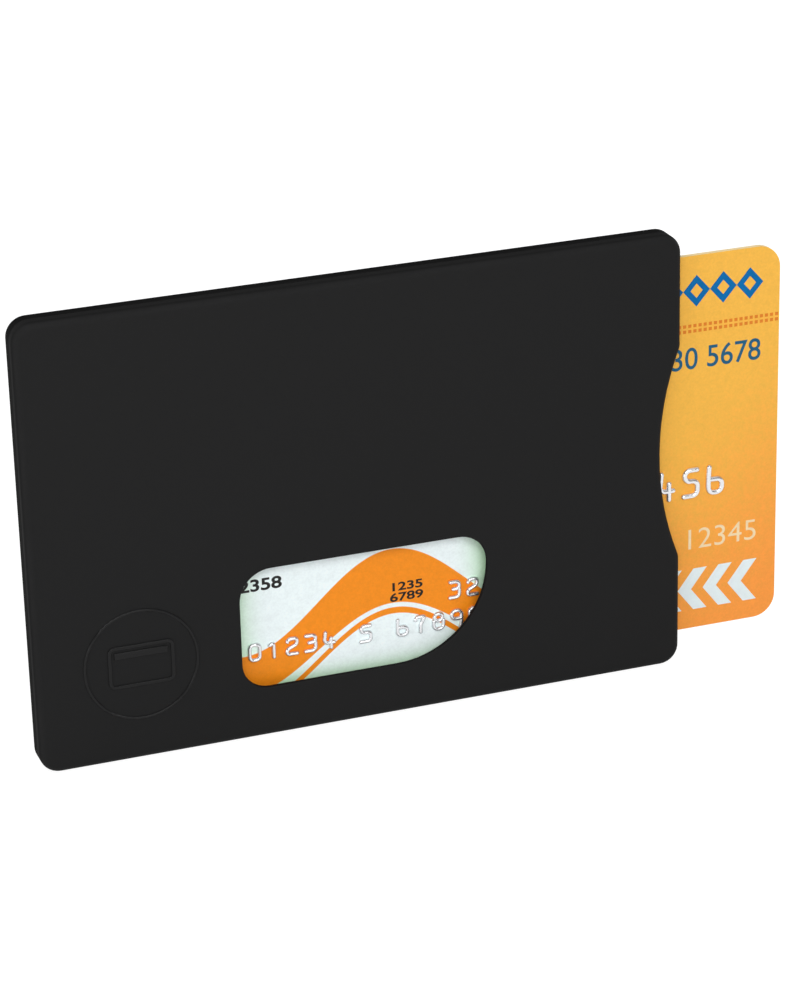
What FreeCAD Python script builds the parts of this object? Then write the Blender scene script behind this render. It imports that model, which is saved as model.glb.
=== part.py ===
import FreeCAD, Part
import math
import os

# Rigid sleeve for one bank-size card: two welded shells, a shield foil in each, and the card that slides.
# All sizes are in millimetres. X runs along the sleeve to its mouth, -Y is the front, Z is up.
# The origin is the middle of the long bottom edge, at half the sleeve's thickness.

# Card of the common bank size, drawn part way out of the mouth
card_length = 85.6
card_height = 53.98
card_corner_radius = 3.18
face_sheet_thickness = 0.28
inlay_thickness = 0.20
back_sheet_thickness = 0.28
card_protrusion = 15.2

# Room round the card in the channel
side_clearance = 0.35
stop_clearance = 0.2
home_recess = 1.0
back_clearance = 0.05
emboss_room = 0.64
channel_corner_radius = 2.5

# Ledges that the card's long margins run on
ledge_width = 1.1
rear_ledge_height = 0.15
front_ledge_clearance = 0.19
ledge_setback = 1.0
ledge_ramp = 0.8

# Walls of the two shells
front_plate = 1.45
rear_plate = 1.35
rim_wall = 3.61
end_wall = 3.6
front_rim = 0.45
corner_radius = 2.7
edge_radius = 1.0
parting_chamfer = 0.1

# Finger notch in the mouth
notch_width = 30.1
notch_depth = 2.82
notch_blend_radius = 2.0
mouth_chamfer = 0.2

# Weld joint round the rim: tongue on the front shell, groove in the rear shell
tongue_inset = 1.2
tongue_width = 0.8
tongue_height = 0.4
tongue_setback = 2.0
tongue_side_clearance = 0.1
tongue_end_clearance = 0.1

# Shield foils, let into the plates
shield_thickness = 0.1
shield_margin = 0.3
shield_corner_radius = 2.0
shield_clearance = 0.1

# Thumb window in the front, with one wide sweep at its lower right and a strip of foil below it.
# Its edge is a thin lip, behind which the wall flares out to the plate's inner face.
window_width = 34.49
window_height = 16.91
window_from_left = 27.78
window_bottom_left_radius = 3.7
window_top_left_radius = 4.4
window_top_right_radius = 4.0
window_right_straight = 0.1
window_edge_radius = 0.2
window_lip = 0.55
window_flare = 0.5
window_land = 1.1
window_foil_strip = 0.81

# Bare raised ring on the front, at the lower left
ring_radius = 7.6
ring_line_width = 0.45
ring_line_height = 0.2
ring_from_left = 14.12
ring_from_bottom = 13.57

# Contact chip: plate in the face sheet, resin block behind it
chip_length = 13.0
chip_height = 11.8
chip_corner_radius = 2.0
chip_plate_thickness = 0.2
chip_from_left = 15.06
chip_from_top = 23.89
chip_clearance = 0.05
contact_gap = 0.25
contact_gap_depth = 0.05
contact_rows = 4
contact_length_share = 0.34
resin_side = 8.6
resin_depth = 0.34
resin_end_clearance = 0.02

# Flat aerial in the inlay
aerial_inset = 3.2
aerial_pitch = 0.9
aerial_line_width = 0.4
aerial_thickness = 0.04
aerial_turns = 4

# Stripe and writing panel on the card's back
stripe_height = 12.7
stripe_from_top = 4.0
panel_length = 62.0
panel_height = 9.5
panel_from_left = 5.0
panel_from_top = 20.0
back_print_thickness = 0.04

# One overrun for every cut, and the tolerance for picking edges
overrun = 1.0
pick_tolerance = 0.001

# The sleeve's outer size follows from the card, the room round it and the walls
card_thickness = face_sheet_thickness + inlay_thickness + back_sheet_thickness
channel_depth = rear_ledge_height + back_clearance + card_thickness + emboss_room
sleeve_length = end_wall + stop_clearance + card_length + home_recess
sleeve_height = card_height + 2 * (side_clearance + rim_wall)
sleeve_depth = front_plate + channel_depth + rear_plate

# Places in the sleeve
half_length = sleeve_length / 2
half_height = sleeve_height / 2
front_y = -sleeve_depth / 2
rear_y = sleeve_depth / 2
front_inner_y = front_y + front_plate
rear_inner_y = rear_y - rear_plate
parting_y = front_inner_y + front_rim
channel_left = end_wall - half_length
channel_bottom = rim_wall
channel_top = sleeve_height - rim_wall
shield_bottom = channel_bottom + ledge_width + shield_margin
shield_top = channel_top - ledge_width - shield_margin
window_left = window_from_left - half_length
window_right = window_left + window_width
window_bottom = shield_bottom + 2 * shield_clearance + window_foil_strip + window_land
window_top = window_bottom + window_height
window_bottom_right_radius = window_height - window_top_right_radius - window_right_straight

# Places in the card
card_right = half_length + card_protrusion
card_left = card_right - card_length
card_bottom = channel_bottom + side_clearance
card_top = card_bottom + card_height
card_back_y = rear_inner_y - rear_ledge_height - back_clearance
inlay_back_y = card_back_y - back_sheet_thickness
inlay_front_y = inlay_back_y - inlay_thickness
card_front_y = inlay_front_y - face_sheet_thickness
chip_x = card_left + chip_from_left
chip_z = card_top - chip_from_top
chip_seat_y = card_front_y + chip_plate_thickness

quarter_turn = math.pi / 2
along_y = FreeCAD.Vector(0, 1, 0)


def rounded_wire(left, right, bottom, top, radii, y):
    """Closed upright outline; the radii run bottom left, bottom right, top right, top left; 0 is sharp."""
    centres = (
        (left + radii[0], bottom + radii[0]),
        (right - radii[1], bottom + radii[1]),
        (right - radii[2], top - radii[2]),
        (left + radii[3], top - radii[3]),
    )
    edges = []
    previous = FreeCAD.Vector(left, y, top - radii[3])
    for corner, (x, z) in enumerate(centres):
        begin = (corner + 2) * quarter_turn
        points = []
        for angle in (begin, begin + quarter_turn / 2, begin + quarter_turn):
            out = FreeCAD.Vector(math.cos(angle), 0, math.sin(angle))
            points.append(FreeCAD.Vector(x, y, z) + out * radii[corner])
        if previous.distanceToPoint(points[0]) > pick_tolerance:
            edges.append(Part.LineSegment(previous, points[0]).toShape())
        if radii[corner] > 0:
            edges.append(Part.Arc(*points).toShape())
        previous = points[2]
    return Part.Wire(edges)


def slab(left, right, bottom, top, radii, y_from, y_to):
    """Flat upright plate of a rounded outline, between two depths."""
    face = Part.Face(rounded_wire(left, right, bottom, top, radii, y_from))
    return face.extrude(along_y * (y_to - y_from))


def edges_at_depth(shape, y, x_least, x_most):
    """Edges that lie wholly at one depth, with their ends between two places along the length."""
    found = []
    for edge in shape.Edges:
        middle = edge.valueAt((edge.FirstParameter + edge.LastParameter) / 2)
        points = [vertex.Point for vertex in edge.Vertexes] + [middle]
        if all(abs(point.y - y) < pick_tolerance and x_least < point.x < x_most for point in points):
            found.append(edge)
    return found


def window_wire(grow, y):
    """The thumb window's outline at one depth, grown evenly on all sides."""
    radii = (
        window_bottom_left_radius + grow,
        window_bottom_right_radius + grow,
        window_top_right_radius + grow,
        window_top_left_radius + grow,
    )
    bottom = window_bottom - grow
    return rounded_wire(window_left - grow, window_right + grow, bottom, window_top + grow, radii, y)


def window_slab(grow, y_from, y_to):
    """Prism of the thumb window's outline, grown evenly on all sides."""
    return Part.Face(window_wire(grow, y_from)).extrude(along_y * (y_to - y_from))


def with_window(shell):
    """Cut the thumb window, flare it behind its lip and round its front edge."""
    shell = shell.cut(window_slab(0, front_y - overrun, front_inner_y + overrun))
    lip_outline = window_wire(0, front_y + window_lip)
    inner_outline = window_wire(window_flare, front_inner_y)
    shell = shell.cut(Part.makeLoft([lip_outline, inner_outline], True, True))
    front_edges = edges_at_depth(shell, front_y, window_left - pick_tolerance, window_right + pick_tolerance)
    return shell.makeFillet(window_edge_radius, front_edges)


def shell_blank(outer_y):
    """Half of the sleeve as a plate: finger notch in the mouth, round outer edge, eased parting edge."""
    radii = (corner_radius, corner_radius, corner_radius, corner_radius)
    blank = slab(-half_length, half_length, 0, sleeve_height, radii, outer_y, parting_y)
    notch_radius = (notch_width ** 2 / 4 + notch_depth ** 2) / (2 * notch_depth)
    notch_centre = FreeCAD.Vector(half_length - notch_depth + notch_radius, front_y - overrun, half_height)
    blank = blank.cut(Part.makeCylinder(notch_radius, rear_y - front_y + 2 * overrun, notch_centre, along_y))
    notch_ends = []
    for edge in blank.Edges:
        first, last = (vertex.Point for vertex in edge.Vertexes)
        across = abs(last.y - first.y) > pick_tolerance
        at_mouth = abs(first.x - half_length) < pick_tolerance
        at_notch = abs(abs(first.z - half_height) - notch_width / 2) < pick_tolerance
        if across and at_mouth and at_notch:
            notch_ends.append(edge)
    blank = blank.makeFillet(notch_blend_radius, notch_ends)
    everywhere = half_length + overrun
    blank = blank.makeFillet(edge_radius, edges_at_depth(blank, outer_y, -everywhere, everywhere))
    return blank.makeChamfer(parting_chamfer, edges_at_depth(blank, parting_y, -everywhere, everywhere))


def with_channel(shell, inner_y):
    """Cut the card channel, open at the mouth, and ease the mouth's inner edge."""
    radii = (channel_corner_radius, 0, 0, channel_corner_radius)
    side = math.copysign(overrun, parting_y - inner_y)
    channel = slab(
        channel_left, half_length + overrun, channel_bottom, channel_top, radii, inner_y, parting_y + side
    )
    shell = shell.cut(channel)
    mouth_least = half_length - notch_depth - pick_tolerance
    mouth_edges = edges_at_depth(shell, inner_y, mouth_least, half_length + overrun)
    return shell.makeChamfer(mouth_chamfer, mouth_edges)


def with_ledges(shell, inner_y, ledge_y):
    """Add the two long ledges that the card's margins run on, with a ramp at the mouth."""
    end = half_length - ledge_setback
    profile = (
        (channel_left, inner_y),
        (end, inner_y),
        (end - ledge_ramp, ledge_y),
        (channel_left, ledge_y),
    )
    for z in (channel_bottom, channel_top - ledge_width):
        points = [FreeCAD.Vector(x, y, z) for x, y in profile]
        face = Part.Face(Part.makePolygon(points + points[:1]))
        shell = shell.fuse(face.extrude(FreeCAD.Vector(0, 0, ledge_width)))
    return shell.removeSplitter()


def rim_band(clearance, y_from, y_to):
    """Three-sided band round the closed rim; the clearance widens it and lengthens its ends."""
    outer_inset = tongue_inset - clearance
    inner_inset = tongue_inset + tongue_width + clearance
    outer_radius = max(corner_radius - outer_inset, 0)
    inner_radius = max(corner_radius - inner_inset, 0)
    outer = slab(
        outer_inset - half_length,
        half_length - tongue_setback + clearance,
        outer_inset,
        sleeve_height - outer_inset,
        (outer_radius, 0, 0, outer_radius),
        y_from,
        y_to,
    )
    inner = slab(
        inner_inset - half_length,
        half_length + overrun,
        inner_inset,
        sleeve_height - inner_inset,
        (inner_radius, 0, 0, inner_radius),
        y_from,
        y_to,
    )
    return outer.cut(inner)


def shield_slab(clearance, y_from, y_to):
    """Foil outline between the ledges, from the end wall to short of the notch."""
    radius = shield_corner_radius - clearance
    return slab(
        channel_left + shield_margin + clearance,
        half_length - notch_depth - shield_margin - clearance,
        shield_bottom + clearance,
        shield_top - clearance,
        (radius, radius, radius, radius),
        y_from,
        y_to,
    )


def raised_ring():
    """Ring whose rounded crest stands out of the front face; the rest is sunk in the plate."""
    half_line = ring_line_width / 2
    crest_radius = (half_line ** 2 + ring_line_height ** 2) / (2 * ring_line_height)
    centre = FreeCAD.Vector(
        ring_from_left - half_length, front_y + crest_radius - ring_line_height, ring_from_bottom
    )
    return Part.makeTorus(ring_radius, crest_radius, centre, along_y)


def make_front_shell():
    shell = with_channel(shell_blank(front_y), front_inner_y)
    shell = with_ledges(shell, front_inner_y, card_front_y - front_ledge_clearance)
    recess_floor = front_inner_y - shield_thickness
    recess = shield_slab(0, recess_floor, front_inner_y)
    shell = shell.cut(recess.cut(window_slab(window_land, recess_floor, front_inner_y)))
    shell = with_window(shell)
    shell = shell.fuse(rim_band(0, parting_y, parting_y + tongue_height))
    return shell.fuse(raised_ring()).removeSplitter()


def make_rear_shell():
    shell = with_channel(shell_blank(rear_y), rear_inner_y)
    shell = with_ledges(shell, rear_inner_y, rear_inner_y - rear_ledge_height)
    shell = shell.cut(shield_slab(0, rear_inner_y, rear_inner_y + shield_thickness))
    groove_floor = parting_y + tongue_height + tongue_end_clearance
    return shell.cut(rim_band(tongue_side_clearance, parting_y, groove_floor)).removeSplitter()


def make_front_shield():
    floor = front_inner_y - shield_thickness
    opening = window_slab(window_land + shield_clearance, floor, front_inner_y)
    return shield_slab(shield_clearance, floor, front_inner_y).cut(opening)


def make_rear_shield():
    return shield_slab(shield_clearance, rear_inner_y, rear_inner_y + shield_thickness)


def card_slab(y_from, y_to):
    radii = (card_corner_radius, card_corner_radius, card_corner_radius, card_corner_radius)
    return slab(card_left, card_right, card_bottom, card_top, radii, y_from, y_to)


def chip_slab(length, height, radius, y_from, y_to):
    """Plate centred on the chip's place in the card."""
    return slab(
        chip_x - length / 2,
        chip_x + length / 2,
        chip_z - height / 2,
        chip_z + height / 2,
        (radius, radius, radius, radius),
        y_from,
        y_to,
    )


def chip_pocket():
    """Two-step pocket milled into the card from its front."""
    plate_pocket = chip_slab(
        chip_length + 2 * chip_clearance,
        chip_height + 2 * chip_clearance,
        chip_corner_radius + chip_clearance,
        card_front_y,
        chip_seat_y,
    )
    resin_pocket = chip_slab(
        resin_side + 2 * chip_clearance,
        resin_side + 2 * chip_clearance,
        0,
        chip_seat_y,
        chip_seat_y + resin_depth + resin_end_clearance,
    )
    return plate_pocket.fuse(resin_pocket)


def make_chip():
    """Contact plate on its resin block, parted by shallow gaps into two columns and a middle field."""
    chip = chip_slab(chip_length, chip_height, chip_corner_radius, card_front_y, chip_seat_y)
    gap_floor = card_front_y + contact_gap_depth
    contact_length = chip_length * contact_length_share
    row_pitch = chip_height / contact_rows
    top = chip_z + chip_height / 2
    bottom = chip_z - chip_height / 2
    sharp = (0, 0, 0, 0)
    for outer_x, inward in ((chip_x - chip_length / 2, 1), (chip_x + chip_length / 2, -1)):
        inner_x = outer_x + inward * contact_length
        upright = slab(
            inner_x - contact_gap / 2, inner_x + contact_gap / 2, bottom, top, sharp, card_front_y, gap_floor
        )
        chip = chip.cut(upright)
        for row in range(1, contact_rows):
            z = bottom + row * row_pitch
            crossing = slab(
                min(outer_x, inner_x),
                max(outer_x, inner_x),
                z - contact_gap / 2,
                z + contact_gap / 2,
                sharp,
                card_front_y,
                gap_floor,
            )
            chip = chip.cut(crossing)
    resin = chip_slab(resin_side, resin_side, 0, chip_seat_y, chip_seat_y + resin_depth)
    return chip.fuse(resin).removeSplitter()


def make_aerial():
    """One flat line wound inwards round the card, lying in the front of the inlay."""
    y = inlay_front_y + aerial_thickness / 2
    corners = []
    inset = aerial_inset
    for turn in range(aerial_turns):
        left = card_left + inset
        right = card_right - inset
        top = card_top - inset
        bottom = card_bottom + inset
        corners.append((left - aerial_pitch if turn else left, bottom))
        corners.append((right, bottom))
        corners.append((right, top))
        corners.append((left, top))
        inset += aerial_pitch
    corners.append((left, half_height))
    path = Part.makePolygon([FreeCAD.Vector(x, y, z) for x, z in corners])
    first_x, first_z = corners[0]
    half_width = aerial_line_width / 2
    half_thick = aerial_thickness / 2
    section = Part.makePolygon([
        FreeCAD.Vector(first_x, y - half_thick, first_z - half_width),
        FreeCAD.Vector(first_x, y + half_thick, first_z - half_width),
        FreeCAD.Vector(first_x, y + half_thick, first_z + half_width),
        FreeCAD.Vector(first_x, y - half_thick, first_z + half_width),
        FreeCAD.Vector(first_x, y - half_thick, first_z - half_width),
    ])
    mitred = 1
    return Part.Wire(path).makePipeShell([section], True, False, mitred)


def make_stripe():
    top = card_top - stripe_from_top
    floor = card_back_y - back_print_thickness
    return slab(card_left, card_right, top - stripe_height, top, (0, 0, 0, 0), floor, card_back_y)


def make_panel():
    left = card_left + panel_from_left
    top = card_top - panel_from_top
    floor = card_back_y - back_print_thickness
    return slab(left, left + panel_length, top - panel_height, top, (0, 0, 0, 0), floor, card_back_y)


def build():
    pocket = chip_pocket()
    aerial = make_aerial()
    stripe = make_stripe()
    panel = make_panel()
    return {
        "front_shell": make_front_shell(),
        "rear_shell": make_rear_shell(),
        "front_shield": make_front_shield(),
        "rear_shield": make_rear_shield(),
        "card_face_sheet": card_slab(card_front_y, inlay_front_y).cut(pocket),
        "card_inlay": card_slab(inlay_front_y, inlay_back_y).cut(pocket).cut(aerial),
        "card_antenna": aerial,
        "card_back_sheet": card_slab(inlay_back_y, card_back_y).cut(pocket).cut(stripe).cut(panel),
        "card_chip": make_chip(),
        "card_magnetic_stripe": stripe,
        "card_signature_panel": panel,
    }


os.makedirs("parts", exist_ok=True)
for node, shape in build().items():
    shape.exportStep(os.path.join("parts", node + ".step"))
    print(node, "valid" if shape.isValid() else "NOT VALID", len(shape.Solids), round(shape.Volume, 2))
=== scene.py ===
import math

import bpy
from mathutils import Matrix, Vector


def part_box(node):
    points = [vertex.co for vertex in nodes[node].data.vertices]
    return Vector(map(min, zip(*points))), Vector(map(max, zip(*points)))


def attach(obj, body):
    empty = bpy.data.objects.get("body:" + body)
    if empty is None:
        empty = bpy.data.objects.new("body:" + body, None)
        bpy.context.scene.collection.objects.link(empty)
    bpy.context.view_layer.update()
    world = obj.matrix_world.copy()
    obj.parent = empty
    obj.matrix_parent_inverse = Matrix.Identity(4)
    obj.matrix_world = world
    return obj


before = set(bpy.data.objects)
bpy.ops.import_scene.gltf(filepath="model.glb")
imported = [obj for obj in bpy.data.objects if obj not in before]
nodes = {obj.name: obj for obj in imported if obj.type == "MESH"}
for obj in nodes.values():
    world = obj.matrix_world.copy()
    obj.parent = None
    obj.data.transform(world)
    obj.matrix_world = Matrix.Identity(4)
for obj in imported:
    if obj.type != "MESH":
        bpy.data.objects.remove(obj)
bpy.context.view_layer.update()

# Card sleeve with a card drawn part way out.
# Lengths are in millimetres, and mm makes metres of them.
# The floor and the lamps are set out in metres.
mm = 0.001

card_low, card_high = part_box("card_face_sheet")
_, sleeve_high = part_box("rear_shell")
card_left = card_low.x / mm
card_bottom = card_low.z / mm
card_face = card_low.y / mm
card_height = (card_high.z - card_low.z) / mm
sleeve_half_length = sleeve_high.x / mm
sleeve_half_depth = sleeve_high.y / mm
sleeve_half_height = sleeve_high.z / mm / 2

# Places on the card: u from its left end, v from its bottom edge.
# Print and raised figures stand out of its face by a rise and reach into it by a sink.
ink_rise, ink_sink = 0.014, 0.004
emboss_rise, emboss_sink = 0.46, 0.03


# Selecting, editing and placing pieces

merge_distance_m, fine_merge_distance_m = 1e-6, 1e-7
smooth_angle = math.radians(32)
stood_up = (math.radians(90), 0, 0)


def clear_selection():
    if bpy.context.mode != "OBJECT":
        bpy.ops.object.mode_set(mode="OBJECT")
    bpy.ops.object.select_all(action="DESELECT")


def pick(*pieces):
    clear_selection()
    for piece in pieces:
        piece.select_set(True)
    bpy.context.view_layer.objects.active = pieces[0]


def edit_all():
    bpy.ops.object.mode_set(mode="EDIT")
    bpy.ops.mesh.select_mode(type="VERT")
    bpy.ops.mesh.select_all(action="SELECT")


def edit_done():
    bpy.ops.object.mode_set(mode="OBJECT")


def edit_points(piece, marks):
    """Goes to edit mode with some vertices of a piece selected: those whose mark is true."""
    bpy.ops.object.mode_set(mode="EDIT")
    bpy.ops.mesh.select_mode(type="VERT")
    bpy.ops.mesh.select_all(action="DESELECT")
    edit_done()
    for point, mark in zip(piece.data.vertices, marks):
        point.select = mark
    bpy.ops.object.mode_set(mode="EDIT")


def settle(piece):
    """The piece's place, turn and scale go into its mesh."""
    pick(piece)
    bpy.ops.object.transform_apply(location=True, rotation=True, scale=True)
    return piece


def joined(pieces):
    pick(*pieces)
    bpy.ops.object.join()
    return bpy.context.object


def apply_modifier(piece, kind, **settings):
    pick(piece)
    bpy.ops.object.modifier_add(type=kind)
    modifier = piece.modifiers[-1]
    for key, value in settings.items():
        setattr(modifier, key, value)
    bpy.ops.object.modifier_apply(modifier=modifier.name)


def row_of(piece, count, step):
    """Sets copies of a piece out in a row, step (x, y) apart."""
    apply_modifier(
        piece,
        "ARRAY",
        count=count,
        use_relative_offset=False,
        use_constant_offset=True,
        constant_offset_displace=(step[0] * mm, step[1] * mm, 0),
    )


def flat_plate(length, height, middle=(0, 0), z=0):
    """A flat plate, drawn lying down with its middle at (x, y)."""
    clear_selection()
    bpy.ops.mesh.primitive_plane_add(size=mm, location=(middle[0] * mm, middle[1] * mm, z * mm))
    plate = bpy.context.object
    plate.scale = (length, height, 1)
    return settle(plate)


def cut_to_frame(stroke):
    """In edit mode, a selected face is cut to a frame, stroke wide, and the frame is selected."""
    bpy.ops.mesh.inset(thickness=stroke * mm)
    bpy.ops.mesh.delete(type="FACE")
    bpy.ops.mesh.select_all(action="SELECT")


def extrude_up(rise):
    bpy.ops.mesh.extrude_region_move(TRANSFORM_OT_translate={"value": (0, 0, rise * mm)})


def stand_on_card(piece):
    """A piece drawn lying down, with x as u, y as v and z outwards, is stood on the card's face."""
    piece.rotation_euler = stood_up
    piece.location = Vector((card_left, card_face, card_bottom)) * mm
    return settle(piece)


def hand_over(piece, name, body, material):
    """Names a finished piece, gives it its finish and lets it ride on its body."""
    pick(piece)
    bpy.ops.object.shade_smooth_by_angle(angle=smooth_angle)
    piece.name = name
    piece.data.name = name
    piece.data.materials.clear()
    piece.data.materials.append(material)
    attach(piece, body)


# Shader building

mix_share, mix_first, mix_second, mix_result = 0, 6, 7, 2  # a Mix node's sockets for colours
noise_low, noise_middle, noise_high = 0.25, 0.5, 0.75  # where most values of a noise lie


def feed(tree, socket, value):
    """A socket gets a link from another socket, or a plain value."""
    if isinstance(value, bpy.types.NodeSocket):
        tree.links.new(value, socket)
    else:
        socket.default_value = value


def calc(tree, operation, *terms):
    node = tree.nodes.new("ShaderNodeMath")
    node.operation = operation
    for socket, term in zip(node.inputs, terms):
        feed(tree, socket, term)
    return node.outputs[0]


def shares_of(tree, first, first_share, second, second_share):
    """Two values added, each times its share."""
    first_part = calc(tree, "MULTIPLY", first, first_share)
    second_part = calc(tree, "MULTIPLY", second, second_share)
    return calc(tree, "ADD", first_part, second_part)


def away_from(tree, value, middle, share):
    """How far a value lies above a middle one, times a share."""
    return calc(tree, "MULTIPLY", calc(tree, "SUBTRACT", value, middle), share)


def ramp_between(tree, value, start, end, low=0.0, high=1.0):
    """A smooth step of value from low at start to high at end."""
    node = tree.nodes.new("ShaderNodeMapRange")
    node.interpolation_type = "SMOOTHSTEP"
    for label, term in (
        ("Value", value),
        ("From Min", start),
        ("From Max", end),
        ("To Min", low),
        ("To Max", high),
    ):
        feed(tree, node.inputs[label], term)
    return node.outputs["Result"]


def mixed(tree, share, first, second, blend="MIX"):
    node = tree.nodes.new("ShaderNodeMix")
    node.data_type = "RGBA"
    node.blend_type = blend
    feed(tree, node.inputs[mix_share], share)
    feed(tree, node.inputs[mix_first], first)
    feed(tree, node.inputs[mix_second], second)
    return node.outputs[mix_result]


def toned(tree, base, tone):
    """A colour multiplied by a tone."""
    return mixed(tree, 1.0, base, tone, "MULTIPLY")


def noise(tree, place, scale, detail=3.0, roughness=0.55):
    node = tree.nodes.new("ShaderNodeTexNoise")
    feed(tree, node.inputs["Vector"], place)
    feed(tree, node.inputs["Scale"], scale)
    feed(tree, node.inputs["Detail"], detail)
    feed(tree, node.inputs["Roughness"], roughness)
    return node.outputs[0]


def stretched(tree, place, scale):
    node = tree.nodes.new("ShaderNodeMapping")
    feed(tree, node.inputs["Vector"], place)
    node.inputs["Scale"].default_value = scale
    return node.outputs[0]


def split(tree, place):
    node = tree.nodes.new("ShaderNodeSeparateXYZ")
    feed(tree, node.inputs[0], place)
    return node.outputs


def grey(tree, value):
    node = tree.nodes.new("ShaderNodeCombineColor")
    for socket in node.inputs:
        feed(tree, socket, value)
    return node.outputs[0]


def level(shade):
    """A plain grey."""
    return (shade, shade, shade, 1)


vector, number, colour = "NodeSocketVector", "NodeSocketFloat", "NodeSocketColor"


def new_group(name, inputs, outputs):
    """An empty shader group: its tree, what it is given and the sockets that its results go to."""
    tree = bpy.data.node_groups.new(name, "ShaderNodeTree")
    for label, kind in inputs:
        tree.interface.new_socket(name=label, in_out="INPUT", socket_type=kind)
    for label, kind in outputs:
        tree.interface.new_socket(name=label, in_out="OUTPUT", socket_type=kind)
    given = tree.nodes.new("NodeGroupInput").outputs
    result = tree.nodes.new("NodeGroupOutput").inputs
    return tree, given, result


def use_group(tree, group, **values):
    node = tree.nodes.new("ShaderNodeGroup")
    node.node_tree = group
    for label, value in values.items():
        feed(tree, node.inputs[label.replace("_", " ")], value)
    return node.outputs


def make_fine_finish():
    """Slow clouds and a fine grain, from which each material takes its tone, gloss and bump."""
    cloud_share, grain_share = 0.6, 0.4
    tree, given, result = new_group(
        "fine_finish",
        [("Place", vector), ("Cloud Scale", number), ("Grain Scale", number), ("Spread", number)],
        [("Tone", colour), ("Cloud", number), ("Grain", number)],
    )
    cloud = noise(tree, given["Place"], given["Cloud Scale"], detail=2.0, roughness=0.5)
    grain = noise(tree, given["Place"], given["Grain Scale"], detail=3.0, roughness=0.6)
    both = shares_of(tree, cloud, cloud_share, grain, grain_share)
    lift = away_from(tree, both, noise_middle, given["Spread"])
    tree.links.new(grey(tree, calc(tree, "ADD", lift, 1.0)), result["Tone"])
    tree.links.new(cloud, result["Cloud"])
    tree.links.new(grain, result["Grain"])
    return tree


def make_edge_rub():
    """Where hands rub the sleeve: in patches along its outer edges, and on what stands up in front."""
    edge_band, depth_band = 0.9, 0.7
    patch_scale, patch_start, patch_full = 160.0, 0.35, 0.7
    raised_start, raised_full = 0.01, 0.07
    tree, given, result = new_group(
        "edge_rub", [("Place", vector)], [("Rub", number), ("Raised", number)]
    )
    x, y, z = split(tree, given["Place"])

    near = []
    for value, middle, half, band in (
        (x, 0.0, sleeve_half_length, edge_band),
        (y, 0.0, sleeve_half_depth, depth_band),
        (z, sleeve_half_height, sleeve_half_height, edge_band),
    ):
        off = calc(tree, "ABSOLUTE", calc(tree, "SUBTRACT", value, middle * mm))
        near.append(ramp_between(tree, off, (half - band) * mm, half * mm))
    near_end, near_face, near_side = near
    end_edges = calc(tree, "MULTIPLY", near_end, near_face)
    side_edges = calc(tree, "MULTIPLY", near_face, near_side)
    edges = calc(tree, "MAXIMUM", end_edges, side_edges)
    cloud = noise(tree, given["Place"], patch_scale, detail=4.0)
    patches = ramp_between(tree, cloud, patch_start, patch_full)
    tree.links.new(calc(tree, "MULTIPLY", edges, patches), result["Rub"])

    forward = calc(tree, "MULTIPLY", y, -1.0)
    start, full = ((sleeve_half_depth + rise) * mm for rise in (raised_start, raised_full))
    tree.links.new(ramp_between(tree, forward, start, full), result["Raised"])
    return tree


# Print on the card's face: a pale ground with a wave ribbon at the left, an amber field at the right

wave_middle, wave_swing, wave_length, wave_crest_u = 9.7, 5.5, 42.0, 29.5
ribbon_half, ribbon_swell, ribbon_softness = 3.4, 0.5, 0.06
stripe_drop, stripe_half, stripe_softness = 5.0, 0.45, 0.05
# The ground's middle and reach sit on the window with the card at rest. The mint ring near its edges is
# partly green print, partly painted shade of the window's edges.
glow_u, glow_v, glow_half_length, glow_half_height, glow_power = 25.0, 14.0, 18.5, 12.5, 4.0
edge_shade_tint_start, edge_shade_tint_end, edge_shade_tint_most = 0.2, 1.1, 0.6
far_tint_start, far_tint_end, far_tint_most = 0.9, 9.0, 0.4
field_edge_u, field_edge_swing, field_edge_length, field_edge_turn = 56.0, 3.6, 54.0, 0.6
field_edge_softness, edge_line_inner, edge_line_outer = 0.06, 0.45, 0.55
warm_middle_u, warm_per_u, warm_mottle, warm_start, warm_end = 78.0, 0.012, 0.3, 0.28, 1.08
print_grain_scale, print_mottle_scale = 3600.0, 900.0
speckle_grain, speckle_mottle, speckle_middle = 0.2, 0.14, 0.17
amber_top = (0.9, 0.475, 0.066, 1)
amber_bottom = (0.96, 0.33, 0.056, 1)
ribbon_orange = (0.93, 0.28, 0.012, 1)
ground_pale = (0.885, 0.975, 0.985, 1)
ground_green = (0.34, 0.89, 0.24, 1)
edge_cream = (0.93, 0.86, 0.68, 1)
cut_edge_tan = (0.88, 0.7, 0.38, 1)


def paint_ground(tree, u, v):
    """Pale ground, nearly white in the middle, mint round that and green further out. The mint ring lies
    along the window's edges with the card at rest: partly green print, partly painted shade of the window's
    edges.
    """
    across = calc(tree, "DIVIDE", calc(tree, "SUBTRACT", u, glow_u), glow_half_length)
    upward = calc(tree, "DIVIDE", calc(tree, "SUBTRACT", v, glow_v), glow_half_height)
    across_part = calc(tree, "POWER", calc(tree, "ABSOLUTE", across), glow_power)
    upward_part = calc(tree, "POWER", calc(tree, "ABSOLUTE", upward), glow_power)
    far = calc(tree, "ADD", across_part, upward_part)
    edge_shade_tint = ramp_between(tree, far, edge_shade_tint_start, edge_shade_tint_end, 0.0, edge_shade_tint_most)
    far_tint = ramp_between(tree, far, far_tint_start, far_tint_end, 0.0, far_tint_most)
    return mixed(tree, calc(tree, "ADD", edge_shade_tint, far_tint), ground_pale, ground_green)


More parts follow.
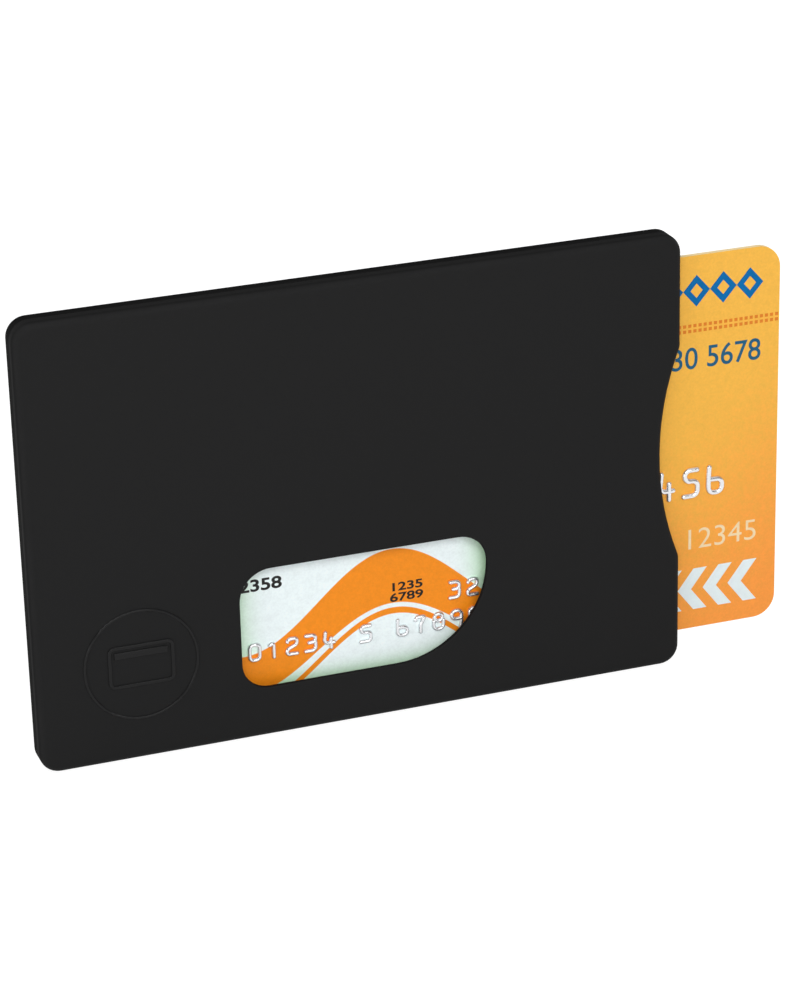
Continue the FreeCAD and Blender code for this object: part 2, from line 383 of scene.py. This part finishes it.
def mask_wave(tree, u, v):
    """The wave ribbon and the thin stripe below it."""
    wave = calc(tree, "COSINE", away_from(tree, u, wave_crest_u, 2 * math.pi / wave_length))
    crest = calc(tree, "ADD", calc(tree, "MULTIPLY", wave, wave_swing), wave_middle)
    above = calc(tree, "SUBTRACT", v, crest)
    swell = calc(tree, "MULTIPLY", wave, ribbon_swell)
    inside = calc(tree, "SUBTRACT", swell, calc(tree, "ABSOLUTE", above))
    ribbon = ramp_between(tree, inside, -ribbon_half - ribbon_softness, -ribbon_half + ribbon_softness)
    below = calc(tree, "ABSOLUTE", calc(tree, "ADD", above, stripe_drop))
    stripe = ramp_between(tree, below, stripe_half + stripe_softness, stripe_half - stripe_softness)
    return calc(tree, "MAXIMUM", ribbon, stripe)


def paint_amber(tree, u, v, mottle):
    """Amber, deeper towards the bottom and the right."""
    depth = calc(tree, "SUBTRACT", 1.0, calc(tree, "DIVIDE", v, card_height))
    aside = away_from(tree, u, warm_middle_u, warm_per_u)
    uneven = away_from(tree, mottle, noise_middle, warm_mottle)
    warm = calc(tree, "ADD", calc(tree, "ADD", depth, aside), uneven)
    return mixed(tree, ramp_between(tree, warm, warm_start, warm_end), amber_top, amber_bottom)


def past_field_edge(tree, u, v):
    """How far a place lies to the right of the amber field's bent edge."""
    turn = calc(tree, "ADD", calc(tree, "MULTIPLY", v, 2 * math.pi / field_edge_length), field_edge_turn)
    bend = calc(tree, "MULTIPLY", calc(tree, "SINE", turn), field_edge_swing)
    return calc(tree, "SUBTRACT", u, calc(tree, "ADD", bend, field_edge_u))


def make_print_field():
    """The whole print: both fields, the line between them and a fine speckle."""
    tree, given, result = new_group(
        "print_field", [("Place", vector)], [("Color", colour), ("Grain", number)]
    )
    x, _, z = split(tree, given["Place"])
    u = calc(tree, "SUBTRACT", calc(tree, "DIVIDE", x, mm), card_left)
    v = calc(tree, "SUBTRACT", calc(tree, "DIVIDE", z, mm), card_bottom)
    grain = noise(tree, given["Place"], print_grain_scale, roughness=0.65)
    mottle = noise(tree, given["Place"], print_mottle_scale, detail=2.0)

    pale_side = mixed(tree, mask_wave(tree, u, v), paint_ground(tree, u, v), ribbon_orange)
    amber_side = paint_amber(tree, u, v, mottle)
    past = past_field_edge(tree, u, v)
    over_edge = ramp_between(tree, past, -field_edge_softness, field_edge_softness)
    both = mixed(tree, over_edge, pale_side, amber_side)
    edge_line = ramp_between(tree, calc(tree, "ABSOLUTE", past), edge_line_outer, edge_line_inner)
    whole = mixed(tree, edge_line, both, edge_cream)

    spots = shares_of(tree, grain, speckle_grain, mottle, speckle_mottle)
    speckle = calc(tree, "ADD", calc(tree, "SUBTRACT", spots, speckle_middle), 1.0)
    tree.links.new(toned(tree, whole, grey(tree, speckle)), result["Color"])
    tree.links.new(grain, result["Grain"])
    return tree


fine_finish = make_fine_finish()
edge_rub = make_edge_rub()
print_field = make_print_field()


# Finishes

gloss_spread = 0.05
cut_edge_start, cut_edge_full = 0.15, 0.02  # how squarely a sheet's cut edge faces front or back


class Finish:
    """A material being made: its tree, its Principled shader, and the place and facing on the piece."""

    def __init__(self, name, metallic=0.0, specular=0.5):
        self.material = bpy.data.materials.new(name)
        self.material.use_nodes = True
        self.tree = self.material.node_tree
        self.shader = self.tree.nodes["Principled BSDF"]
        self.shader.inputs["Metallic"].default_value = metallic
        self.shader.inputs["Specular IOR Level"].default_value = specular
        source = self.tree.nodes.new("ShaderNodeTexCoord").outputs
        self.place = source["Object"]
        self.facing = source["Normal"]

    def clouds(self, cloud_scale, grain_scale, spread):
        return use_group(
            self.tree,
            fine_finish,
            Place=self.place,
            Cloud_Scale=cloud_scale,
            Grain_Scale=grain_scale,
            Spread=spread,
        )

    def paint(self, value):
        feed(self.tree, self.shader.inputs["Base Color"], value)

    def gloss(self, value, low, high):
        roughness = ramp_between(self.tree, value, noise_low, noise_high, low, high)
        feed(self.tree, self.shader.inputs["Roughness"], roughness)

    def relief(self, value, depth, strength=0.5):
        bump = self.tree.nodes.new("ShaderNodeBump")
        bump.inputs["Strength"].default_value = strength
        bump.inputs["Distance"].default_value = depth * mm
        feed(self.tree, bump.inputs["Height"], value)
        self.tree.links.new(bump.outputs[0], self.shader.inputs["Normal"])


def plain_finish(name, tone, roughness, cloud_scale, grain_scale, spread, depth, metallic=0.0, specular=0.5):
    """A finish of one tone with clouds, grain, uneven gloss and a fine relief."""
    finish = Finish(name, metallic, specular)
    parts = finish.clouds(cloud_scale, grain_scale, spread)
    finish.paint(toned(finish.tree, (*tone, 1), parts["Tone"]))
    finish.gloss(parts["Cloud"], roughness - gloss_spread, roughness + gloss_spread)
    finish.relief(parts["Grain"], depth)
    return finish


def make_ink(name, tone, spread, roughness=0.38, specular=0.2):
    """Printing ink: even, with a faint mottle."""
    return plain_finish(
        name,
        tone,
        roughness,
        cloud_scale=700.0,
        grain_scale=4200.0,
        spread=spread,
        depth=0.003,
        specular=specular,
    ).material


def make_shell_plastic(name, tone, specular, rim_painted_shade, rim_roughness):
    """Black moulded plastic: satin on the broad faces, matter round the rim, a little rubbed. The rim's
    colour is darkened as painted shade on the faces that look up, down and sideways.
    """
    roughness, rim_start, rim_full = 0.6, 0.75, 0.3
    rubbed_black, rub_tint = (0.03, 0.03, 0.031, 1), 0.2
    rub_polish, raised_polish, raised_coat, coat_roughness = 0.06, 0.4, 0.08, 0.2
    finish = Finish(name, specular=specular)
    tree = finish.tree
    parts = finish.clouds(cloud_scale=45.0, grain_scale=5200.0, spread=0.25)
    worn = use_group(tree, edge_rub, Place=finish.place)

    # The rim: faces turned away from the front and back. Its colour is darkened there as painted shade.
    squarely = calc(tree, "ABSOLUTE", split(tree, finish.facing)["Y"])
    rim = ramp_between(tree, squarely, rim_start, rim_full)
    rim_shaded_tone = [rim_painted_shade * part for part in tone]
    ground = mixed(tree, rim, (*tone, 1), (*rim_shaded_tone, 1))
    body = toned(tree, ground, parts["Tone"])
    finish.paint(mixed(tree, calc(tree, "MULTIPLY", worn["Rub"], rub_tint), body, rubbed_black))

    cloudy = ramp_between(
        tree, parts["Cloud"], noise_low, noise_high, roughness - gloss_spread, roughness + gloss_spread
    )
    rough = calc(tree, "ADD", cloudy, calc(tree, "MULTIPLY", rim, rim_roughness - roughness))
    polish = shares_of(tree, worn["Rub"], rub_polish, worn["Raised"], raised_polish)
    feed(tree, finish.shader.inputs["Roughness"], calc(tree, "SUBTRACT", rough, polish))
    feed(tree, finish.shader.inputs["Coat Weight"], calc(tree, "MULTIPLY", worn["Raised"], raised_coat))
    finish.shader.inputs["Coat Roughness"].default_value = coat_roughness
    finish.relief(parts["Grain"], depth=0.006, strength=0.35)
    return finish.material


def make_card_print():
    """Laminated print on the face, with the sheet's own tan showing at its cut edges."""
    finish = Finish("card_print", specular=0.22)
    tree = finish.tree
    field = use_group(tree, print_field, Place=finish.place)
    cut = ramp_between(tree, split(tree, finish.facing)["Y"], -cut_edge_start, -cut_edge_full)
    finish.paint(mixed(tree, cut, field["Color"], cut_edge_tan))
    finish.gloss(field["Grain"], low=0.34, high=0.42)
    finish.relief(field["Grain"], depth=0.004, strength=0.3)
    return finish.material


def make_card_core():
    """White sheet, tan along its cut edges."""
    finish = plain_finish(
        "card_core",
        tone=(0.92, 0.9, 0.85),
        roughness=0.42,
        cloud_scale=60.0,
        grain_scale=2800.0,
        spread=0.12,
        depth=0.004,
        specular=0.3,
    )
    tree = finish.tree
    white = finish.shader.inputs["Base Color"].links[0].from_socket
    squarely = calc(tree, "ABSOLUTE", split(tree, finish.facing)["Y"])
    cut = ramp_between(tree, squarely, cut_edge_start, cut_edge_full)
    finish.paint(mixed(tree, cut, white, cut_edge_tan))
    return finish.material


def make_tipped_print():
    """Raised figures: print up their sides and a silver-white tip, a little worn, on top."""
    tip_silver, tip_metallic, tip_start, tip_full = (0.76, 0.77, 0.79, 1), 0.85, 0.12, 0.18
    wear_scale, wear_depth = 1500.0, 0.03
    finish = Finish("tipped_print", specular=0.4)
    tree = finish.tree
    field = use_group(tree, print_field, Place=finish.place)
    height = calc(tree, "SUBTRACT", card_face * mm, split(tree, finish.place)["Y"])
    wear = away_from(tree, noise(tree, finish.place, wear_scale), noise_middle, wear_depth * mm)
    tip = ramp_between(tree, calc(tree, "ADD", height, wear), tip_start * mm, tip_full * mm)
    finish.paint(mixed(tree, tip, field["Color"], tip_silver))
    feed(tree, finish.shader.inputs["Metallic"], calc(tree, "MULTIPLY", tip, tip_metallic))
    finish.gloss(field["Grain"], low=0.17, high=0.24)
    return finish.material


def make_foil():
    """Rolled aluminium foil: fine streaks along its length."""
    streak_scale = (60.0, 900.0, 2600.0)
    foil_dark, foil_light = (0.62, 0.63, 0.64, 1), (0.8, 0.81, 0.82, 1)
    finish = Finish("shield_foil", metallic=1.0)
    tree = finish.tree
    streak = noise(tree, stretched(tree, finish.place, streak_scale), scale=1.0)
    finish.paint(mixed(tree, streak, foil_dark, foil_light))
    finish.gloss(streak, low=0.26, high=0.42)
    finish.relief(streak, depth=0.006, strength=0.3)
    return finish.material


def make_panel_finish():
    """Matt writing panel with fine slanting lines."""
    line_pitch, line_middle, line_half, line_fade, grain_scale = 1.1, 0.5, 0.07, 0.11, 3000.0
    panel_dark, panel_light = (0.8, 0.79, 0.75, 1), (0.88, 0.87, 0.84, 1)
    line_tan = (0.72, 0.56, 0.36, 1)
    finish = Finish("writing_panel", specular=0.2)
    tree = finish.tree
    x, _, z = split(tree, finish.place)
    slant = calc(tree, "DIVIDE", calc(tree, "ADD", x, z), line_pitch * mm)
    off_line = calc(tree, "SUBTRACT", calc(tree, "FRACT", slant), line_middle)
    between = ramp_between(tree, calc(tree, "ABSOLUTE", off_line), line_half, line_fade)
    grain = noise(tree, finish.place, grain_scale)
    ground = mixed(tree, grain, panel_dark, panel_light)
    finish.paint(mixed(tree, calc(tree, "SUBTRACT", 1.0, between), ground, line_tan))
    finish.gloss(grain, low=0.6, high=0.72)
    finish.relief(grain, depth=0.006, strength=0.3)
    return finish.material


# Both shells get painted shade round the rim; the rear shell's is much darker, which paints the dark band
# along the sleeve's top.
front_plastic = make_shell_plastic(
    "shell_plastic_front", (0.0147, 0.0147, 0.0149), specular=0.055, rim_painted_shade=0.66, rim_roughness=0.78
)
rear_plastic = make_shell_plastic(
    "shell_plastic_rear", (0.014, 0.014, 0.0142), specular=0.05, rim_painted_shade=0.27, rim_roughness=0.86
)
shield_foil = make_foil()
card_print = make_card_print()
tipped_print = make_tipped_print()
card_core = make_card_core()
copper_line = plain_finish(
    "copper_line",
    tone=(0.72, 0.36, 0.2),
    roughness=0.35,
    cloud_scale=300.0,
    grain_scale=4000.0,
    spread=0.3,
    depth=0.003,
    metallic=1.0,
).material
contact_gold = plain_finish(
    "contact_gold",
    tone=(0.84, 0.66, 0.29),
    roughness=0.28,
    cloud_scale=260.0,
    grain_scale=3800.0,
    spread=0.25,
    depth=0.003,
    metallic=1.0,
).material
stripe_black = plain_finish(
    "stripe_black",
    tone=(0.026, 0.022, 0.02),
    roughness=0.36,
    cloud_scale=120.0,
    grain_scale=3600.0,
    spread=0.3,
    depth=0.003,
    specular=0.25,
).material
writing_panel = make_panel_finish()
blue_ink = make_ink("blue_ink", (0.002, 0.14, 0.39), spread=0.5, specular=0.1)
teal_ink = make_ink("teal_ink", (0.007, 0.1, 0.2), spread=0.5)
rule_ink = make_ink("rule_ink", (0.74, 0.21, 0.018), spread=0.5)
cream_ink = make_ink("cream_ink", (0.92, 0.72, 0.44), spread=0.3)
white_ink = make_ink("white_ink", (0.79, 0.88, 0.9), spread=0.2)
black_ink = make_ink("black_ink", (0.012, 0.011, 0.01), spread=0.4, roughness=0.4)

for node_name, material in (
    ("front_shell", front_plastic),
    ("rear_shell", rear_plastic),
    ("front_shield", shield_foil),
    ("rear_shield", shield_foil),
    ("card_face_sheet", card_print),
    ("card_inlay", card_core),
    ("card_antenna", copper_line),
    ("card_back_sheet", card_core),
    ("card_chip", contact_gold),
    ("card_magnetic_stripe", stripe_black),
    ("card_signature_panel", writing_panel),
):
    nodes[node_name].data.materials.clear()
    nodes[node_name].data.materials.append(material)


# Flat print

def lozenge_chain():
    """Blue chain of open lozenges along the top of the amber field."""
    half_length, half_height, stroke, count, last_u, middle_v = 1.95, 2.22, 0.8, 6, 81.2, 49.03
    pitch = 2 * half_length
    clear_selection()
    bpy.ops.mesh.primitive_circle_add(vertices=4, radius=mm, fill_type="NGON")
    chain = bpy.context.object
    chain.scale = (half_length, half_height, 1)
    chain.location = ((last_u - pitch * (count - 1)) * mm, middle_v * mm, -ink_sink * mm)
    settle(chain)
    edit_all()
    cut_to_frame(stroke)
    extrude_up(ink_rise + ink_sink)
    edit_done()
    row_of(chain, count, (pitch, 0))
    hand_over(stand_on_card(chain), "card_lozenge_chain", "card", blue_ink)


def square_rule():
    """Two rows of small squares under the chain."""
    side, pitch, count, rows, first_u, low_v = 0.46, 0.75, 33, 2, 61.2, 43.41
    squares = flat_plate(side, side, (first_u, low_v), -ink_sink)
    edit_all()
    extrude_up(ink_rise + ink_sink)
    edit_done()
    row_of(squares, count, (pitch, 0))
    row_of(squares, rows, (0, pitch))
    hand_over(stand_on_card(squares), "card_square_rule", "card", rule_ink)


def chevrons():
    """White chevrons that point the way into the sleeve."""
    arm, lean, half_height, pitch, count, first_u, middle_v = 2.0, 2.35, 3.05, 3.75, 4, 67.2, 5.8
    mark = flat_plate(arm, half_height, (arm / 2, half_height / 2))
    edit_points(mark, [point.co.y > half_height / 2 * mm for point in mark.data.vertices])
    bpy.ops.transform.translate(value=(lean * mm, 0, 0))
    edit_done()
    apply_modifier(
        mark, "MIRROR", use_axis=(False, True, False), use_clip=True, merge_threshold=merge_distance_m
    )
    edit_all()
    bpy.ops.mesh.normals_make_consistent(inside=False)
    extrude_up(ink_rise + ink_sink)
    bpy.ops.mesh.select_all(action="SELECT")
    bpy.ops.mesh.normals_make_consistent(inside=False)
    edit_done()
    mark.location = (first_u * mm, middle_v * mm, -ink_sink * mm)
    settle(mark)
    row_of(mark, count, (pitch, 0))
    hand_over(stand_on_card(mark), "card_chevrons", "card", white_ink)


def printed_figures(name, text, low, high, weight, material):
    """Plain figures, fitted to the box from low to high (u, v)."""
    curve_steps, line_space, drawn_depth = 8, 0.92, 0.01
    clear_selection()
    bpy.ops.object.text_add()
    label = bpy.context.object
    label.data.body = text
    label.data.resolution_u = curve_steps
    label.data.offset = weight
    label.data.extrude = drawn_depth
    label.data.space_line = line_space
    bpy.ops.object.convert(target="MESH")
    label = bpy.context.object
    places = [point.co for point in label.data.vertices]
    aim_low = (*low, -ink_sink)
    aim_high = (*high, ink_rise)
    for axis in range(3):
        least = min(place[axis] for place in places)
        most = max(place[axis] for place in places)
        label.scale[axis] = (aim_high[axis] - aim_low[axis]) * mm / (most - least)
        label.location[axis] = aim_low[axis] * mm - least * label.scale[axis]
    settle(label)
    hand_over(stand_on_card(label), name, "card", material)


lozenge_chain()
square_rule()
chevrons()
for name, text, low, high, weight, ink in (
    ("card_blue_figures", "1230 5678", (66.4, 38.0), (82.9, 41.1), 0.006, teal_ink),
    ("card_cream_figures", "12345", (72.5, 11.75), (82.6, 14.72), -0.004, cream_ink),
    ("card_small_figures", "2358", (8.3, 16.2), (14.2, 17.95), 0.025, black_ink),
    ("card_tiny_figures", "1235\n6789", (29.15, 11.4), (33.85, 14.15), 0.025, black_ink),
):
    printed_figures(name, text, low, high, weight, ink)


# Raised figures, drawn as strokes on a grid

grid_width, grid_height = 2, 4
figure_lines = {
    "0": [[(0, 2), (0, 4), (2, 4), (2, 0), (0, 0), (0, 2)]],
    "1": [[(0.3, 3.2), (1.1, 4), (1.1, 0)]],
    "2": [[(0.1, 3.3), (0.3, 4), (2, 4), (2, 2.4), (0, 1.3), (0, 0), (2, 0)]],
    "3": [[(0.1, 4), (2, 4), (2, 2.15), (0.7, 2.15)], [(2, 2.15), (2, 0), (0, 0)]],
    "4": [[(0.3, 4), (0, 1.3), (2, 1.3)], [(1.4, 2.4), (1.4, 0)]],
    "5": [[(1.9, 4), (0.1, 4), (0.1, 2.3), (2, 2.3), (2, 0), (0, 0)]],
    "6": [[(0.1, 4), (0, 2.1), (0, 0), (2, 0), (2, 2.1), (0.05, 2.1)]],
    "7": [[(0, 3.3), (0, 4), (2, 4), (1, 2), (1, 0)]],
    "8": [
        [(0.2, 2.2), (0.2, 4), (1.8, 4), (1.8, 2.2), (0.2, 2.2)],
        [(0, 2.2), (0, 0), (2, 0), (2, 2.2)],
    ],
    "9": [[(1.9, 0), (2, 1.9), (2, 4), (0, 4), (0, 1.9), (1.95, 1.9)]],
    "/": [[(0.2, 0), (1.8, 4)]],
}
corner_share, corner_steps = 0.42, 6
stroke_round_steps, end_segments, end_rings = 8, 20, 12


def mark_corners(piece):
    """The inner points of a drawn line: those with an edge on each side."""
    edges = [0] * len(piece.data.vertices)
    for edge in piece.data.edges:
        for point in edge.vertices:
            edges[point] += 1
    return [count == 2 for count in edges]


def draw_stroke(points, corner, radius):
    """A point drawn out along a line, with rounded corners, then given a round section and closed ends."""
    clear_selection()
    bpy.ops.mesh.primitive_plane_add(size=radius * mm)
    stroke = bpy.context.object
    edit_all()
    bpy.ops.mesh.merge(type="CENTER")
    bpy.ops.transform.translate(value=Vector((*points[0], 0)) * mm)
    for here, there in zip(points, points[1:]):
        step = Vector((there[0] - here[0], there[1] - here[1], 0)) * mm
        bpy.ops.mesh.extrude_vertices_move(TRANSFORM_OT_translate={"value": step})
    bpy.ops.mesh.select_all(action="SELECT")
    bpy.ops.mesh.remove_doubles(threshold=merge_distance_m)
    edit_done()
    corners = mark_corners(stroke)
    if any(corners):
        edit_points(stroke, corners)
        bpy.ops.mesh.bevel(
            offset=corner * mm, affect="VERTICES", segments=corner_steps, clamp_overlap=True
        )
        edit_done()
    bpy.ops.object.convert(target="CURVE")
    stroke = bpy.context.object
    stroke.data.dimensions = "3D"
    stroke.data.bevel_depth = radius * mm
    stroke.data.bevel_resolution = stroke_round_steps
    stroke.data.use_fill_caps = True
    bpy.ops.object.convert(target="MESH")
    stroke = bpy.context.object
    edit_all()
    bpy.ops.mesh.remove_doubles(threshold=fine_merge_distance_m)
    edit_done()
    return stroke


def draw_end(point, radius):
    """The round end of a stroke."""
    clear_selection()
    bpy.ops.mesh.primitive_uv_sphere_add(
        segments=end_segments, ring_count=end_rings, radius=radius * mm, location=Vector((*point, 0)) * mm
    )
    return settle(bpy.context.object)


def make_figure(figure, width, height, radius):
    """One figure, with its middle at the origin."""
    strokes = []
    for line in figure_lines[figure]:
        points = [((x / grid_width - 0.5) * width, (y / grid_height - 0.5) * height) for x, y in line]
        strokes.append(draw_stroke(points, corner_share * width, radius))
        strokes += [draw_end(point, radius) for point in (points[0], points[-1])]
    return joined(strokes)


def raised_line(name, text, first_u, middle_v, pitch, width, height, radius):
    """A line of raised figures, each made once and copied. Their backs are pressed flat in the card."""
    made = {figure: make_figure(figure, width, height, radius) for figure in sorted(set(text) - {" "})}
    placed = []
    for step, figure in enumerate(text):
        if figure == " ":
            continue
        pick(made[figure])
        bpy.ops.object.duplicate()
        copy = bpy.context.object
        copy.location = ((first_u + step * pitch) * mm, middle_v * mm, 0)
        placed.append(copy)
    for figure in made.values():
        bpy.data.objects.remove(figure)
    line = joined(placed)
    line.scale = (1, 1, emboss_rise / radius)
    settle(line)
    edit_points(line, [point.co.z < -emboss_sink * mm for point in line.data.vertices])
    bpy.ops.transform.resize(value=(1, 1, 0), center_override=(0, 0, -emboss_sink * mm))
    edit_done()
    hand_over(stand_on_card(line), name, "card", tipped_print)


raised_line(
    "card_raised_number",
    "1234 5678 9012 3456",
    first_u=11.01,
    middle_v=21.6,
    pitch=3.63,
    width=2.0,
    height=3.75,
    radius=0.4,
)
raised_line(
    "card_raised_date",
    "32/10",
    first_u=38.26,
    middle_v=11.8,
    pitch=2.54,
    width=1.35,
    height=2.25,
    radius=0.3,
)
raised_line(
    "card_raised_row",
    "01234 5 67890",
    first_u=10.04,
    middle_v=7.58,
    pitch=2.585,
    width=1.4,
    height=2.2,
    radius=0.3,
)


# Raised sign inside the ring on the front: a plain card with a bar across it

def badge_sign():
    ring_x, ring_z, rise = -31.08, 13.57, 0.2
    length, height, stroke = 9.0, 6.0, 0.5
    corner, corner_rounding = 0.9, 5
    bar_height, bar_drop, bar_gap = 0.95, 0.85, 0.4
    bevel_width, bevel_steps = 0.12, 3
    outline = flat_plate(length, height)
    edit_all()
    bpy.ops.mesh.bevel(offset=corner * mm, affect="VERTICES", segments=corner_rounding)
    bpy.ops.mesh.select_all(action="SELECT")
    cut_to_frame(stroke)
    extrude_up(rise + ink_sink)
    edit_done()
    bar_length = length - 2 * stroke - 2 * bar_gap
    bar = flat_plate(bar_length, bar_height, (0, height / 2 - stroke - bar_drop))
    edit_all()
    extrude_up(rise + ink_sink)
    edit_done()
    sign = joined([outline, bar])
    apply_modifier(sign, "BEVEL", width=bevel_width * mm, segments=bevel_steps, limit_method="ANGLE")
    sign.rotation_euler = stood_up
    sign.location = Vector((ring_x, ink_sink - sleeve_half_depth, ring_z)) * mm
    settle(sign)
    hand_over(sign, "badge_card_sign", "sleeve", front_plastic)


badge_sign()


# Floor, light and camera
# The floor bounces light as a pale floor does, and is seen white with a faint shadow.

floor_radius_m, floor_drop_m, floor_sides = 4.0, 0.00005, 128
floor_bounce, floor_shade, floor_roughness = 0.6, 0.25, 0.9
floor_glow_near, floor_glow_far, glow_near_m, glow_far_m = 0.9, 0.97, 0.08, 0.4
# Each a height, up to straight overhead at 1, and the sky's shade there
sky_shades = ((0.0, 1.0), (0.1, 1.0), (0.16, 0.18), (0.5, 0.14), (0.8, 0.45), (1.0, 0.9))


def make_floor():
    clear_selection()
    bpy.ops.mesh.primitive_circle_add(
        vertices=floor_sides, radius=floor_radius_m, fill_type="NGON", location=(0, 0, -floor_drop_m)
    )
    floor = bpy.context.object
    floor.name = "floor"
    finish = Finish("floor_white", specular=0.0)
    tree = finish.tree
    rays = tree.nodes.new("ShaderNodeLightPath").outputs
    mirrored = calc(tree, "MAXIMUM", rays["Is Glossy Ray"], rays["Is Transmission Ray"])
    seen = calc(tree, "MAXIMUM", rays["Is Camera Ray"], mirrored)
    tone = finish.clouds(cloud_scale=3.0, grain_scale=400.0, spread=0.01)["Tone"]
    finish.paint(toned(tree, mixed(tree, seen, level(floor_bounce), level(floor_shade)), tone))
    finish.shader.inputs["Roughness"].default_value = floor_roughness
    finish.shader.inputs["Emission Color"].default_value = level(1)
    reach = tree.nodes.new("ShaderNodeVectorMath")
    reach.operation = "LENGTH"
    tree.links.new(finish.place, reach.inputs[0])
    glow = ramp_between(
        tree, reach.outputs["Value"], glow_near_m, glow_far_m, floor_glow_near, floor_glow_far
    )
    feed(tree, finish.shader.inputs["Emission Strength"], calc(tree, "MULTIPLY", seen, glow))
    floor.data.materials.append(finish.material)


def make_sky():
    world = bpy.data.worlds.new("studio")
    bpy.context.scene.world = world
    world.use_nodes = True
    tree = world.node_tree
    height = split(tree, tree.nodes.new("ShaderNodeTexCoord").outputs["Generated"])["Z"]
    ramp = tree.nodes.new("ShaderNodeValToRGB")
    tree.links.new(height, ramp.inputs[0])
    stops = ramp.color_ramp.elements
    while len(stops) < len(sky_shades):
        stops.new(position=0.5)  # set to its own place below
    for stop, (place, shade) in zip(stops, sky_shades):
        stop.position = place
        stop.color = level(shade)
    tree.links.new(ramp.outputs[0], tree.nodes["Background"].inputs["Color"])


def direction(azimuth, elevation):
    """From the object outwards, in degrees: azimuth 0 is straight in front, and grows to the right."""
    a, e = math.radians(azimuth), math.radians(elevation)
    return Vector((math.sin(a) * math.cos(e), -math.cos(a) * math.cos(e), math.sin(e)))


def add_softbox(name, azimuth, elevation, distance, width, height, power):
    """A soft lamp that is turned to the middle of the sleeve, and hidden from the camera."""
    light = bpy.data.lights.new(name, "AREA")
    light.shape = "RECTANGLE"
    light.size = width
    light.size_y = height
    light.energy = power
    lamp = bpy.data.objects.new(name, light)
    bpy.context.scene.collection.objects.link(lamp)
    towards = direction(azimuth, elevation)
    lamp.location = Vector((0, 0, sleeve_half_height * mm)) + towards * distance
    lamp.rotation_euler = towards.to_track_quat("Z", "Y").to_euler()
    lamp.visible_camera = False


# The photo's view, fitted to the sleeve's and the card's corners
view_azimuth, view_elevation, view_roll = -19.1669, 22.2643, -1.5396
view_target, view_distance = Vector((4.7154, 0, 29.9401)), 454.655
view_lens, view_sensor, clip_near_m, clip_far_m = 124.456, 36.0, 0.01, 50.0


def make_camera():
    azimuth, roll = math.radians(view_azimuth), math.radians(view_roll)
    back = direction(view_azimuth, view_elevation)
    level_right = Vector((math.cos(azimuth), math.sin(azimuth), 0))
    level_up = back.cross(level_right)
    right = level_right * math.cos(roll) + level_up * math.sin(roll)
    up = level_up * math.cos(roll) - level_right * math.sin(roll)
    data = bpy.data.cameras.new("photo_view")
    data.sensor_width = view_sensor
    data.lens = view_lens
    data.clip_start = clip_near_m
    data.clip_end = clip_far_m
    camera = bpy.data.objects.new("photo_view", data)
    bpy.context.scene.collection.objects.link(camera)
    turn = Matrix((right, up, back)).transposed().to_4x4()
    camera.matrix_world = Matrix.Translation(view_target * mm + back * (view_distance * mm)) @ turn
    bpy.context.scene.camera = camera


make_floor()
make_sky()
for name, azimuth, elevation, distance, width, height, power in (
    ("key_light", -6.0, 32.0, 0.62, 0.6, 0.3, 2.45),
    ("left_light", -62.0, 5.0, 0.6, 0.3, 0.15, 0.55),
    ("back_light", -135.0, 38.0, 0.9, 0.5, 0.5, 3.0),
    ("mouth_light", 108.0, 18.0, 0.7, 0.4, 0.3, 1.0),
):
    add_softbox(name, azimuth, elevation, distance, width, height, power)
make_camera()
bpy.context.scene.view_settings.view_transform = "Standard"
